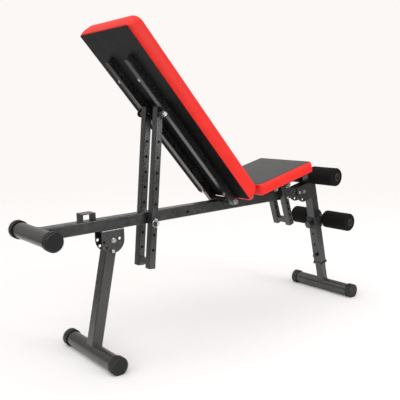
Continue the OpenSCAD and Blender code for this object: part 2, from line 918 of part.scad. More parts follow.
main_beam();
beam_end_plug();
handle_tube();
handle_caps();
saddle();
rear_bracket();
back_hinge_tube();
seat_hinge_tube();
back_hinge_bolt();
back_hinge_nut();
seat_hinge_bolt();
seat_hinge_nut();
rear_pivot_bolt();
rear_pivot_nut();
rear_lock_pin();
rear_leg();
rear_foot();
rear_foot_caps();
front_pivot_bolt();
front_pivot_nut();
front_bracket();
front_lock_pin();
front_leg();
front_leg_plug();
front_leg_collar();
upper_bar();
upper_bar_plugs();
upper_roller_near();
upper_roller_far();
roller_sleeve();
lower_bar();
lower_bar_plugs();
lower_roller_near();
lower_roller_far();
sleeve_knob();
foot_knob();
inner_tube();
front_foot();
front_foot_caps();
back_cushion();
back_board();
back_rails();
back_rail_plugs();
back_rail_bolts();
back_ears();
back_strut_bolts();
back_strut_spacers();
back_strut_nuts();
back_strut();
back_strut_plugs();
back_pin();
seat_cushion();
seat_board();
seat_rails();
seat_rail_bolts();
seat_ears();
seat_strut_bolts();
seat_strut_spacers();
seat_strut();
seat_pin();
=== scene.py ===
"""Looks of the folding decline sit up bench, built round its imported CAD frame. Metres, +Z up."""

import json
import math
import random

import bmesh
import bpy
from mathutils import Matrix, Vector, noise
from mathutils.bvhtree import BVHTree


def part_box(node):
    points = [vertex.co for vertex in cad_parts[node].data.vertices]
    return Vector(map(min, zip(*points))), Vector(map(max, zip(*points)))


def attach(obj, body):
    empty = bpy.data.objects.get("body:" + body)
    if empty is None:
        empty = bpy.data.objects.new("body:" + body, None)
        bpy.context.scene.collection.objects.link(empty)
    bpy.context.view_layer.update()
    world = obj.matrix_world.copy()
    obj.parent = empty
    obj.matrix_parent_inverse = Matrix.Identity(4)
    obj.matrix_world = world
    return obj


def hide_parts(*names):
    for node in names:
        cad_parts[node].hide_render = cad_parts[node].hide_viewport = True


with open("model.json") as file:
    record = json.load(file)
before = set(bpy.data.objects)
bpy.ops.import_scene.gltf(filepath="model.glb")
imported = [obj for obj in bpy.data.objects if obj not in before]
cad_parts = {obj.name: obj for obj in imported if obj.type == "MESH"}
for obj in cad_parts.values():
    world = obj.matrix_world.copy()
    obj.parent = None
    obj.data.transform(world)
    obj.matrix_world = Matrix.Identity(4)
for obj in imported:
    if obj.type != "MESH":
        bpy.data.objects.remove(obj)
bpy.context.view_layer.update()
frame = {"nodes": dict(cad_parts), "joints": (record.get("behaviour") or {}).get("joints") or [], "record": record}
MM = 0.001
TINY = 0.001 * MM      # lengths below this count as nothing
JOINTS = {j["name"]: j for j in frame["joints"]}
SCENE = bpy.context.scene
UP_Y = Vector((0, 1, 0))
UP_Z = Vector((0, 0, 1))

# ---------------------------------------------------------------- places

BACK_ANGLE = math.radians(48)
SEAT_ANGLE = math.radians(14)
FRONT_LEAN = math.radians(13.66)
BEAM_RISE = math.radians(1.43)
BACK_STRUT_LEAN = math.radians(4.57)
SEAT_STRUT_LEAN = math.radians(-18.26)
RAIL_TOP = 12.5 * MM         # back face of a cushion above the hinge line
HALF_TUBE = 19 * MM          # half the side of the beam and the legs
HALF_INNER = 16 * MM         # half the side of the sliding inner tube
CROSS_TUBE_RADIUS = 25 * MM  # handle and feet
BAR_RADIUS = 12.5 * MM       # roller bars and hinge tubes
BRACKET_FACE = 20.6 * MM     # weld line of a bracket plate, out from the middle


def joint_place(name):
    """Hinge point of a joint at rest."""
    return Vector(JOINTS[name]["pos_m"])


def node_centre(node):
    """Middle of a CAD node's box at rest."""
    lo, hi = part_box(node)
    return (Vector(lo) + Vector(hi)) / 2


def tilted(place, angle, turned=False):
    """Frame at a place whose X points up a slope of the given angle, Z out of its face."""
    turn = Matrix.Rotation(angle, 4, "Y")
    if turned:
        turn = turn @ Matrix.Rotation(math.pi, 4, "Z")
    return Matrix.Translation(place) @ turn


BACK = tilted(joint_place("backrest_tilt"), BACK_ANGLE, turned=True)
SEAT = tilted(joint_place("seat_tilt"), -SEAT_ANGLE)
LEG = tilted(joint_place("front_leg_fold"), -FRONT_LEAN)
BACK_STRUT = tilted(joint_place("back_strut_swing"), BACK_STRUT_LEAN)
SEAT_STRUT = tilted(joint_place("seat_strut_swing"), SEAT_STRUT_LEAN)

# ---------------------------------------------------------------- materials


class Nodes:
    """Short way to build a node material round one Principled shader."""

    def __init__(self, name):
        self.material = bpy.data.materials.new(name)
        self.material.use_nodes = True
        self.tree = self.material.node_tree
        self.shader = self.tree.nodes["Principled BSDF"]
        coordinates = self.add("ShaderNodeTexCoord")
        self.place = coordinates.outputs["Object"]
        self.normal = coordinates.outputs["Normal"]

    def add(self, kind, **values):
        """New node with some of its settings."""
        node = self.tree.nodes.new(kind)
        for key, value in values.items():
            setattr(node, key, value)
        return node

    def link(self, source, target):
        self.tree.links.new(source, target)

    def noise(self, scale, detail=3.0, rough=0.5):
        """Cloudy noise, mostly between 0.3 and 0.7."""
        node = self.add("ShaderNodeTexNoise")
        node.inputs["Scale"].default_value = scale
        node.inputs["Detail"].default_value = detail
        node.inputs["Roughness"].default_value = rough
        self.link(self.place, node.inputs["Vector"])
        return node.outputs["Fac"]

    def cells(self, scale, feature="DISTANCE_TO_EDGE", randomness=1.0, place=None):
        """Distance to the edges of random cells, or to their middles with feature F1."""
        node = self.add("ShaderNodeTexVoronoi", feature=feature)
        node.inputs["Scale"].default_value = scale
        node.inputs["Randomness"].default_value = randomness
        self.link(place or self.place, node.inputs["Vector"])
        return node.outputs["Distance"]

    def spread(self, value, low, high, to_low=0.0, to_high=1.0):
        """A value's stretch from low to high mapped onto another, and held at its ends."""
        node = self.add("ShaderNodeMapRange")
        node.inputs["From Min"].default_value = low
        node.inputs["From Max"].default_value = high
        node.inputs["To Min"].default_value = to_low
        node.inputs["To Max"].default_value = to_high
        self.link(value, node.inputs["Value"])
        return node.outputs["Result"]

    def mix(self, factor, first, second):
        """Colour blend from first to second."""
        node = self.add("ShaderNodeMix", data_type="RGBA")
        self.link(factor, node.inputs["Factor"])
        for value, slot in ((first, node.inputs["A"]), (second, node.inputs["B"])):
            self.put(value, slot)
        return node.outputs["Result"]

    def put(self, value, slot):
        """Sets a socket to a colour or number, or links another socket to it."""
        if isinstance(value, bpy.types.NodeSocket):
            self.link(value, slot)
        elif isinstance(value, (tuple, list)):
            slot.default_value = (*value, 1.0)
        else:
            slot.default_value = value

    def math(self, operation, first, second=0.0):
        """Sum on one or two numbers or sockets."""
        node = self.add("ShaderNodeMath", operation=operation)
        self.put(first, node.inputs[0])
        self.put(second, node.inputs[1])
        return node.outputs["Value"]

    def bump(self, height, strength, distance, normal=None):
        """Surface normal with a height pattern, on top of another normal if one is given."""
        node = self.add("ShaderNodeBump")
        node.inputs["Strength"].default_value = strength
        node.inputs["Distance"].default_value = distance
        self.link(height, node.inputs["Height"])
        if normal is not None:
            self.link(normal, node.inputs["Normal"])
        return node.outputs["Normal"]

    def axis(self, vector, name):
        """One axis of a vector."""
        node = self.add("ShaderNodeSeparateXYZ")
        self.link(vector, node.inputs[0])
        return node.outputs[name]

    def grooves(self, reach):
        """Ambient occlusion, 0 deep in a groove, 1 on open faces; the looks use it to paint shade into grooves."""
        node = self.add("ShaderNodeAmbientOcclusion", samples=8)
        node.inputs["Distance"].default_value = reach
        return node.outputs["AO"]

    def soft_edge(self, radius):
        """Surface normal with every sharp edge rounded a little."""
        node = self.add("ShaderNodeBevel", samples=4)
        node.inputs["Radius"].default_value = radius
        return node.outputs["Normal"]

    def wobbled_place(self, scale, amount):
        """Object coordinates pushed about a little, so that a pattern on them is less regular."""
        wobble = self.add("ShaderNodeTexNoise")
        wobble.inputs["Scale"].default_value = scale
        self.link(self.place, wobble.inputs["Vector"])
        warp = self.add("ShaderNodeMix", data_type="VECTOR")
        warp.inputs["Factor"].default_value = amount
        self.link(self.place, warp.inputs["A"])
        self.link(wobble.outputs["Color"], warp.inputs["B"])
        return warp.outputs["Result"]

    def done(self, **inputs):
        """Sets the shader's inputs and hands over the material."""
        for key, value in inputs.items():
            self.put(value, self.shader.inputs[key.replace("_", " ")])
        return self.material


def scaled(colour, factor, lift=0.0):
    """Colour made darker or lighter by a factor, then lifted."""
    return tuple(min(1, c * factor + lift) for c in colour)


def grey(level):
    """Neutral colour."""
    return (level, level, level)


def powder_coat(name, colour, rough=(0.15, 0.3), shine=0.9):
    """Sprayed and baked paint: hammered dimples, fine orange peel, light flecks and rubbed patches."""
    k = Nodes(name)
    fleck_share = 0.34
    dull = k.spread(k.noise(14, 4), 0.35, 0.7)
    fleck = k.spread(k.noise(420, 3), 0.54, 0.66)
    body = k.mix(dull, scaled(colour, 0.5), scaled(colour, 1.25, 0.004))
    body = k.mix(k.math("MULTIPLY", fleck, fleck_share), body, grey(0.16))
    dimples = k.bump(k.noise(240, 3), 0.5, 0.8 * MM, k.soft_edge(0.9 * MM))
    peel = k.bump(k.noise(900, 2), 0.22, 0.25 * MM, dimples)
    rubbed = k.spread(k.noise(40, 5), 0.3, 0.7, *rough)
    return k.done(Base_Color=body, Roughness=rubbed, Normal=peel, Specular_IOR_Level=shine)


def plated(name, dark, light):
    """Plated steel with a faint uneven cast, fine machining marks and painted shade darkening its grooves."""
    k = Nodes(name)
    tone = k.mix(k.noise(160, 2), dark, light)
    # Painted shade: the colour darkens where ambient occlusion finds a groove.
    open_face = k.spread(k.grooves(3 * MM), 0.3, 0.8)
    tone = k.mix(open_face, scaled(dark, 0.2), tone)
    marks = k.bump(k.noise(1500, 2), 0.15, 0.1 * MM, k.soft_edge(0.4 * MM))
    gloss = k.spread(k.noise(300, 3), 0.3, 0.7, 0.12, 0.32)
    return k.done(Base_Color=tone, Metallic=1.0, Roughness=gloss, Normal=marks)


def moulded(name, colour, rough=0.5):
    """Moulded plastic with a fine spark grain, matt on end faces and shiny on the ribs' flanks, with painted shade
    darkening the grooves between ribs.
    """
    k = Nodes(name)
    grain = k.bump(k.cells(1400, "F1"), 0.25, 0.2 * MM, k.soft_edge(0.6 * MM))
    tone = k.mix(k.noise(30, 3), scaled(colour, 0.85), scaled(colour, 1.25))
    # Painted shade: the colour goes near black where ambient occlusion finds a groove.
    open_face = k.spread(k.grooves(5 * MM), 0.6, 0.9)
    tone = k.mix(open_face, grey(0.0015), tone)
    gloss = k.spread(k.noise(60, 3), 0.3, 0.7, rough - 0.07, rough + 0.1)
    flank = k.math("SUBTRACT", 1.0, k.math("ABSOLUTE", k.axis(k.normal, "Y")))
    end_shine = 0.36
    shine = k.math("MULTIPLY", open_face, k.math("ADD", end_shine, flank))
    return k.done(Base_Color=tone, Roughness=gloss, Normal=grain, Specular_IOR_Level=shine)


def foam(name):
    """Closed cell foam: small open pits darkened with painted shade, dusty black."""
    k = Nodes(name)
    pits = k.cells(620, "F1")
    rough_skin = k.bump(k.noise(170, 4), 0.35, 0.6 * MM)
    skin = k.bump(pits, 0.6, 0.6 * MM, rough_skin)
    # Painted shade: the pits are coloured darker than the skin round them.
    pit_shade_tone = (0.002, 0.0019, 0.0017)
    skin_tone = (0.007, 0.0064, 0.0058)
    tone = k.mix(k.spread(pits, 0.1, 0.6), pit_shade_tone, skin_tone)
    return k.done(
        Base_Color=tone,
        Roughness=0.86,
        Normal=skin,
        Specular_IOR_Level=0.15,
        Sheen_Weight=0.02,
        Sheen_Roughness=0.5,
    )


def vinyl(name, red, black):
    """Grained vinyl, black on the panel and red on the band, told apart by the mesh's seam distance; a dark line
    of painted shade runs in the seam's groove.
    """
    k = Nodes(name)
    seam = k.add("ShaderNodeAttribute", attribute_name="seam").outputs["Fac"]
    is_panel = k.math("GREATER_THAN", seam, 0.0)
    uneven = k.noise(22, 4)
    red_tone = k.mix(uneven, scaled(red, 0.93), scaled(red, 1.06))
    black_tone = k.mix(uneven, scaled(black, 0.85), scaled(black, 1.25))
    tone = k.mix(is_panel, red_tone, black_tone)
    # Painted shade: the colour darkens to a dark red within 1.4 mm of the seam, in its groove.
    off_seam = k.spread(k.math("ABSOLUTE", seam), 0.0, 1.4 * MM)
    tone = k.mix(off_seam, (0.02, 0.006, 0.006), tone)
    grain = k.cells(760, place=k.wobbled_place(260, 0.0012))
    pulled = k.bump(k.noise(45, 2), 0.22, 1.6 * MM)
    creases = k.bump(k.spread(grain, 0.0, 0.12), 0.32, 0.22 * MM, pulled)
    groove = k.bump(off_seam, 0.8, 0.8 * MM, creases)
    duller_panel = k.math("MULTIPLY", is_panel, 0.03)
    gloss = k.math("ADD", k.spread(uneven, 0.3, 0.7, 0.36, 0.47), duller_panel)
    shine = k.math("ADD", 0.34, k.math("MULTIPLY", is_panel, 0.6))
    return k.done(Base_Color=tone, Roughness=gloss, Normal=groove, Specular_IOR_Level=shine)


def dust_cover(name):
    """Spun black cover cloth with a small bonded dot pattern; colour and sheen are painted lighter towards its
    high end as painted light, and darker low down as painted shade.
    """
    k = Nodes(name)
    shaded_height = 0.74
    lit_height = 0.96
    turn = k.add("ShaderNodeMapping")
    turn.inputs["Rotation"].default_value = (0.0, BACK_ANGLE, math.radians(45))
    k.link(k.place, turn.inputs["Vector"])
    dots = k.cells(520, "F1", 0.0, turn.outputs["Vector"])
    fibre = k.noise(900, 5, 0.7)
    cloth = k.bump(k.spread(dots, 0.2, 0.5), 0.35, 0.2 * MM, k.bump(fibre, 0.4, 0.3 * MM))
    # Painted light and shade: colour and sheen rise with height, lighter up high and darker low down.
    painted_light = k.spread(k.axis(k.place, "Z"), shaded_height, lit_height)
    between = k.mix(painted_light, (0.0025, 0.0025, 0.0026), (0.008, 0.0078, 0.0078))
    on_fibres = k.mix(painted_light, (0.005, 0.005, 0.0051), (0.017, 0.0165, 0.0165))
    tone = k.mix(k.spread(fibre, 0.35, 0.65), between, on_fibres)
    shine = k.spread(painted_light, 0.0, 1.0, 0.06, 0.34)
    return k.done(Base_Color=tone, Roughness=0.55, Normal=cloth, Specular_IOR_Level=shine)


def thread(name, colour):
    """Twisted sewing thread."""
    k = Nodes(name)
    twist = k.bump(k.noise(2400, 2), 0.5, 0.2 * MM)
    tone = k.mix(k.noise(700, 2), scaled(colour, 0.7), colour)
    return k.done(Base_Color=tone, Roughness=0.7, Normal=twist)


PAINT = powder_coat("frame_paint_look", (0.0125, 0.0123, 0.0119))
BLACK_PAINT = powder_coat("black_paint_look", (0.01, 0.01, 0.0105), (0.36, 0.5), 0.5)
ZINC = plated("zinc_look", (0.46, 0.46, 0.45), (0.7, 0.71, 0.73))
BLACK_STEEL = plated("black_steel_look", (0.05, 0.05, 0.052), (0.09, 0.09, 0.095))
PLASTIC = moulded("black_plastic_look", (0.0035, 0.0035, 0.0036), 0.4)
FOAM = foam("foam_look")
VINYL = vinyl("vinyl_look", (0.88, 0.02, 0.012), (0.036, 0.033, 0.032))
COVER = dust_cover("dust_cover_look")
THREAD = thread("thread_look", (0.06, 0.058, 0.058))
SLOT_LOOKS = {
    "frame_paint": PAINT,
    "black_paint": BLACK_PAINT,
    "zinc_steel": ZINC,
    "black_steel": BLACK_STEEL,
    "black_plastic": PLASTIC,
    "foam_black": FOAM,
    "red_vinyl": VINYL,
    "board_wood": COVER,
}


def paint_cad_nodes():
    """Gives every CAD node the look of its material slot."""
    slots = {s["node"]: s["material_slot"] for s in frame["record"]["subparts"]}
    for node, obj in frame["nodes"].items():
        look = SLOT_LOOKS[slots[node]]
        obj.data.materials.clear()
        obj.data.materials.append(look)


paint_cad_nodes()

# ---------------------------------------------------------------- mesh helpers


def make_object(name, points, faces, material, matrix=None):
    """New smooth mesh object in the CAD frame from points and faces given in a local frame."""
    mesh = bpy.data.meshes.new(name)
    mesh.from_pydata([tuple(p) for p in points], [], faces)
    if matrix is not None:
        mesh.transform(matrix)
    mesh.materials.append(material)
    mesh.validate()
    mesh.update()
    mesh.shade_smooth()
    obj = bpy.data.objects.new(name, mesh)
    SCENE.collection.objects.link(obj)
    return obj


def fix_normals(obj):
    """Turns all faces of a closed mesh outwards."""
    bm = bmesh.new()
    bm.from_mesh(obj.data)
    bmesh.ops.recalc_face_normals(bm, faces=bm.faces)
    bm.to_mesh(obj.data)
    bm.free()


def apply_modifiers(obj):
    """Replaces an object's mesh by its evaluated one."""
    graph = bpy.context.evaluated_depsgraph_get()
    mesh = bpy.data.meshes.new_from_object(obj.evaluated_get(graph))
    obj.modifiers.clear()
    old = obj.data
    obj.data = mesh
    bpy.data.meshes.remove(old)


class Shell:
    """Collects points and faces of many small closed pieces for one object."""

    def __init__(self):
        self.points = []
        self.faces = []

    def rings(self, rings, closed_path=False):
        """Skins a list of rings of points; open paths get end caps."""
        start = len(self.points)
        count = len(rings[0])
        for ring in rings:
            self.points.extend(ring)
        spans = len(rings) if closed_path else len(rings) - 1
        for i in range(spans):
            a = start + i * count
            b = start + (i + 1) % len(rings) * count
            for j in range(count):
                n = (j + 1) % count
                self.faces.append((a + j, a + n, b + n, b + j))
        if not closed_path:
            self.faces.append(tuple(start + j for j in reversed(range(count))))
            last = start + (len(rings) - 1) * count
            self.faces.append(tuple(last + j for j in range(count)))

    def sweep(self, path, radii, sides=8, closed=False):
        """Round bead along a path with a radius at each point."""
        count = len(path)
        rings = []
        side = None
        for i, p in enumerate(path):
            before = path[i - 1] if closed or i > 0 else p
            after = path[(i + 1) % count] if closed or i < count - 1 else p
            along = (after - before).normalized()
            if side is None:
                side = along.orthogonal().normalized()
            side = (side - along * side.dot(along)).normalized()
            other = along.cross(side)
            rings.append([
                p + (side * math.cos(a) + other * math.sin(a)) * radii[i]
                for a in (2 * math.pi * s / sides for s in range(sides))
            ])
        self.rings(rings, closed)

    def build(self, name, material, matrix=None):
        """One object from everything collected."""
        obj = make_object(name, self.points, self.faces, material, matrix)
        fix_normals(obj)
        return obj


# ---------------------------------------------------------------- cushions


def outline(half_x, half_y, radius, step):
    """Rounded rectangle as (point, outward normal) pairs about a step apart."""
    pairs = []
    flat_x = half_x - radius
    flat_y = half_y - radius
    signs = ((1, 1), (-1, 1), (-1, -1), (1, -1))
    corners = [(flat_x * sx, flat_y * sy, 90 * turn) for turn, (sx, sy) in enumerate(signs)]
    for index, (cx, cy, start) in enumerate(corners):
        turns = max(3, round(radius * math.pi / 2 / step))
        for t in range(turns + 1):
            a = math.radians(start + 90 * t / turns)
            normal = Vector((math.cos(a), math.sin(a), 0))
            pairs.append((Vector((cx, cy, 0)) + normal * radius, normal))
        after = corners[(index + 1) % 4]
        end = math.radians(start + 90)
        normal = Vector((math.cos(end), math.sin(end), 0))
        first = Vector((cx, cy, 0)) + normal * radius
        last = Vector((after[0], after[1], 0)) + normal * radius
        spans = max(2, round((last - first).length / step))
        for t in range(1, spans):
            pairs.append((first.lerp(last, t / spans), normal))
    return pairs


def cell_lines(half, radius, flat_cells, corner_cells=4):
    """Grid line positions across a rounded rectangle, with lines where its corners start."""
    flat = half - radius
    corner = [flat + radius * (i + 1) / corner_cells for i in range(corner_cells)]
    middle = [-flat + 2 * flat * i / flat_cells for i in range(flat_cells + 1)]
    return [-v for v in reversed(corner)] + middle + corner


def round_corner(x, y, flat_x, flat_y):
    """Pulls a grid point near a corner in, so that square rings become arcs."""
    dx = abs(x) - flat_x
    dy = abs(y) - flat_y
    if dx <= 0 or dy <= 0:
        return x, y
    scale = max(dx, dy) / math.hypot(dx, dy)
    return math.copysign(flat_x + dx * scale, x), math.copysign(flat_y + dy * scale, y)


class Pad:
    """Upholstered pad: black panel, red side band, red turned-under margin, all one closed mesh.

    corners are the plan corner radii at the underside and at the panel; seam_turn is where the
    seam sits on the rounded edge, in degrees above the side."""

    step = 6 * MM
    bottom_edge = 4 * MM
    belly_level = 24 * MM   # the band is drawn in below this level
    reach = 20 * MM         # seam distances are stored up to this

    def __init__(self, name, half_x, half_y, height, corners, edge, seam_turn, belly):
        self.name = name
        self.half_x = half_x
        self.half_y = half_y
        self.height = height
        self.low_corner, self.corner = corners
        self.edge = edge
        self.seam_turn = seam_turn
        self.belly = belly
        self.points = []
        self.faces = []
        self.seam = []
        self.pinned = []
        self.build_cage()

    def add(self, point, seam, pinned):
        """New cage point with its signed distance from the seam. Returns its index."""
        self.points.append(point)
        self.seam.append(max(-self.reach, min(self.reach, seam)))
        self.pinned.append(pinned)
        return len(self.points) - 1

    def panel(self, inset, z, top):
        """Grid across the pad at an inset from its outline. Returns grid indices."""
        corner = self.corner if top else self.low_corner
        flat_x = self.half_x - corner
        flat_y = self.half_y - corner
        cells_x = 2 * round((self.half_x - self.corner) / self.step)
        cells_y = 2 * round((self.half_y - self.corner) / self.step)
        xs = cell_lines(self.half_x - inset, corner - inset, cells_x)
        ys = cell_lines(self.half_y - inset, corner - inset, cells_y)
        arc = self.edge * math.radians(90 - self.seam_turn)
        grid = []
        for x in xs:
            column = []
            for y in ys:
                border = min(self.half_x - inset - abs(x), self.half_y - inset - abs(y))
                px, py = round_corner(x, y, flat_x, flat_y)
                seam = arc + border if top else -self.reach
                column.append(self.add(Vector((px, py, z)), seam, not top))
            grid.append(column)
        for i in range(len(xs) - 1):
            for j in range(len(ys) - 1):
                quad = (grid[i][j], grid[i + 1][j], grid[i + 1][j + 1], grid[i][j + 1])
                self.faces.append(quad if top else quad[::-1])
        return grid

    def border(self, grid):
        """Border indices of a panel grid, counterclockwise seen from above."""
        last_i = len(grid) - 1
        last_j = len(grid[0]) - 1
        loop = [grid[i][0] for i in range(last_i)]
        loop += [grid[last_i][j] for j in range(last_j)]
        loop += [grid[i][last_j] for i in range(last_i, 0, -1)]
        loop += [grid[0][j] for j in range(last_j, 0, -1)]
        return loop

    def side_profile(self):
        """(inset, height, signed distance from the seam) from the panel's border down to the underside."""
        rows = []
        arc_rows = 6
        for t in range(1, arc_rows + 1):
            a = math.radians(90 - 90 * t / arc_rows)
            inset = self.edge * (1 - math.cos(a))
            z = self.height - self.edge + self.edge * math.sin(a)
            rows.append((inset, z, self.edge * (a - math.radians(self.seam_turn))))
        top = self.height - self.edge
        tall = top - self.bottom_edge
        seam_low = -self.edge * math.radians(self.seam_turn)
        steps = max(4, round(tall / self.step))
        for t in range(1, steps + 1):
            z = top - tall * t / steps
            rows.append((self.drawn_in(z), z, seam_low - tall * t / steps))
        edge_rows = 3
        for t in range(1, edge_rows):
            a = math.radians(90 * t / edge_rows)
            z = self.bottom_edge * (1 - math.sin(a))
            rows.append((self.drawn_in(z) + self.bottom_edge * (1 - math.cos(a)), z, -self.reach))
        return rows

    def drawn_in(self, z):
        """How far the band is pulled in towards the board at a height."""
        return self.belly * max(0, 1 - z / self.belly_level) ** 2

    def corner_at(self, z):
        """Plan corner radius at a height: small by the board, full at the rounded edge."""
        share = max(0, min(1, z / (self.height - self.edge)))
        return self.low_corner + (self.corner - self.low_corner) * share ** 1.5

    def core(self, p):
        """Nearest point to p among those no farther out than where the panel's corners start."""
        flat_x = self.half_x - self.corner
        flat_y = self.half_y - self.corner
        return Vector((max(-flat_x, min(flat_x, p.x)), max(-flat_y, min(flat_y, p.y)), p.z))

    def build_cage(self):
        """Panel, then ring below ring down the side, then the underside."""
        previous = self.border(self.panel(self.edge, self.height, True))
        flat_x = self.half_x - self.corner
        flat_y = self.half_y - self.corner
        cores = [self.core(self.points[index]) for index in previous]
        normals = [(self.points[index] - core).normalized() for index, core in zip(previous, cores)]
        rows = self.side_profile()
        nearest = min(range(len(rows)), key=lambda r: abs(rows[r][2]))
        held_rows = 3
        for r, (inset, z, seam) in enumerate(rows):
            ring = []
            radius = self.corner_at(z)
            grow_x = (self.half_x - radius) / flat_x
            grow_y = (self.half_y - radius) / flat_y
            for core, n in zip(cores, normals):
                x = core.x * grow_x + n.x * (radius - inset)
                y = core.y * grow_y + n.y * (radius - inset)
                held = r == nearest or r >= len(rows) - held_rows
                ring.append(self.add(Vector((x, y, z)), seam, held))
            self.stitch(previous, ring)
            previous = ring
        bottom = self.panel(self.bottom_edge + self.drawn_in(0), 0.0, False)
        self.stitch(previous, self.border(bottom))

    def stitch(self, upper, lower):
        """Quads between two rings of cage points."""
        count = len(upper)
        for i in range(count):
            n = (i + 1) % count
            self.faces.append((upper[n], upper[i], lower[i], lower[n]))

    def mesh(self, points):
        """Mesh of the cage with its points moved."""
        mesh = bpy.data.meshes.new(self.name)
        mesh.from_pydata([tuple(p) for p in points], [], self.faces)
        mesh.update()
        return mesh

    def swell(self, most):
        """Cloth simulation under air pressure with the seam and the underside held; returns new points."""
        obj = bpy.data.objects.new(self.name + "_sim", self.mesh(self.points))
        SCENE.collection.objects.link(obj)
        group = obj.vertex_groups.new(name="held")
        group.add([i for i, held in enumerate(self.pinned) if held], 1.0, "REPLACE")
        cloth = obj.modifiers.new("Cloth", "CLOTH")
        settings = cloth.settings
        settings.quality = 5
        settings.mass = 0.4
        settings.tension_stiffness = 25
        settings.compression_stiffness = 25
        settings.shear_stiffness = 12
        settings.bending_stiffness = 1.5
        settings.vertex_group_mass = "held"
        settings.use_pressure = True
        settings.uniform_pressure_force = 4
        settings.effector_weights.gravity = 0
        last_frame = 20
        cloth.point_cache.frame_start = 1
        cloth.point_cache.frame_end = last_frame
        for f in range(1, last_frame + 1):
            SCENE.frame_set(f)
        graph = bpy.context.evaluated_depsgraph_get()
        result = [v.co.copy() for v in obj.evaluated_get(graph).data.vertices]
        SCENE.frame_set(1)
        mesh = obj.data
        bpy.data.objects.remove(obj)
        bpy.data.meshes.remove(mesh)
        out = []
        longest = 0.0
        for p, q in zip(self.points, result):
            move = q - p
            reach = move.length
            longest = max(longest, reach)
            if reach > TINY:
                kept = most * (1 - math.exp(-reach / most))
                p = p + move * (kept / reach)
            out.append(p)
        print(f"{self.name}: cloth moved up to {longest / MM:.2f} mm")
        return out

    def settle(self, points):
        """Small folds fanning from the corners of the side band and faint waves along it."""
        fold_depth = 1.3 * MM
        wave_depth = 0.7 * MM
        out = []
        for p, held in zip(points, self.pinned):
            outward = p - self.core(p)
            if outward.length > TINY and not held:
                level = p.z / self.height
                band = math.sin(math.pi * max(0, min(1, level)))
                turn = math.atan2(abs(outward.y), abs(outward.x))
                folds = math.cos(turn * 8) * math.sin(turn * 2)
                waves = noise.noise(p * 22)
                shift = wave_depth * waves * band - fold_depth * folds * (1 - level)
                p = p + outward.normalized() * shift
            out.append(p)
        return out

    def finish(self, points, matrix):
        """Smooth pad object in its place, with the seam distance stored on it."""
        obj = bpy.data.objects.new(self.name, self.mesh(points))
        obj.data.materials.append(VINYL)
        SCENE.collection.objects.link(obj)
        layer = obj.data.attributes.new("seam", "FLOAT", "POINT")
        layer.data.foreach_set("value", self.seam)
        obj.modifiers.new("Smooth", "SUBSURF").levels = 1
        apply_modifiers(obj)
        obj.data.shade_smooth()
        obj.data.transform(matrix)
        return obj


def add_stitches(name, pad, points, inset, matrix):
    """Row of thread stitches on the panel, just inside the seam."""
    shell = Shell()
    panel = BVHTree.FromPolygons([tuple(p) for p in points], pad.faces)
    pitch = 5 * MM
    length = 3.4 * MM
    shares = (-0.5, -0.3, 0, 0.3, 0.5)
    radii = [0.22 * MM, 0.38 * MM, 0.42 * MM, 0.38 * MM, 0.22 * MM]
    corner = max(3 * MM, pad.corner - inset)
    for p, normal in outline(pad.half_x - inset, pad.half_y - inset, corner, pitch):
        along = Vector((-normal.y, normal.x, 0))
        path = []
        for s in shares:
            q = p + along * length * s
            hit = panel.ray_cast(Vector((q.x, q.y, 1)), -UP_Z)[0]
            if hit is not None:
                lift = 0.25 * MM * (1 - (2 * s) ** 2)
                path.append(hit + UP_Z * lift)
        if len(path) == len(shares):
            shell.sweep(path, radii, sides=6)
    return shell.build(name, THREAD, matrix)


def cover_sag(x, y, border, rails):
    """How far the dust cover hangs: held on the rails (their place and half width), slack between."""
    hem_width = 2.2 * MM
    hem_depth = 0.35 * MM
    slack_depth = 0.9 * MM
    wave_depth = 0.35 * MM
    rail_y, rail_half = rails
    free = min(1, max(0, (abs(abs(y) - rail_y) - rail_half) / (12 * MM)))
    slack = slack_depth * free * min(1, border / (30 * MM))
    wave = wave_depth * free * noise.noise(Vector((x * 14, y * 22, 3)))
    hem = hem_depth if border < hem_width else 0.0
    return slack + wave + hem


def add_cover(name, half_x, half_y, corner, rails, matrix):
    """Dust cover cloth under a pad: thin, slack between the rails, edge turned under."""
    thick = 0.5 * MM
    cell = 8 * MM
    sheet = []
    faces = []
    xs = cell_lines(half_x, corner, 2 * round(half_x / cell))
    ys = cell_lines(half_y, corner, 2 * round(half_y / cell))
    rows = {}
    for side in (0, 1):
        for i, x in enumerate(xs):
            for j, y in enumerate(ys):
                px, py = round_corner(x, y, half_x - corner, half_y - corner)
                border = min(half_x - abs(x), half_y - abs(y))
                z = thick if side else -cover_sag(px, py, border, rails)
                rows[side, i, j] = len(sheet)
                sheet.append(Vector((px, py, z)))
    for i in range(len(xs) - 1):
        for j in range(len(ys) - 1):
            quad = [(i, j), (i, j + 1), (i + 1, j + 1), (i + 1, j)]
            faces.append(tuple(rows[0, a, b] for a, b in quad))
            faces.append(tuple(rows[1, a, b] for a, b in reversed(quad)))
    last_i = len(xs) - 1
    last_j = len(ys) - 1
    loop = [(i, 0) for i in range(last_i)] + [(last_i, j) for j in range(last_j)]
    loop += [(i, last_j) for i in range(last_i, 0, -1)] + [(0, j) for j in range(last_j, 0, -1)]
    for a, b in zip(loop, loop[1:] + loop[:1]):
        faces.append((rows[0, *a], rows[1, *a], rows[1, *b], rows[0, *b]))
    obj = make_object(name, sheet, faces, COVER, matrix)
    fix_normals(obj)
    return obj


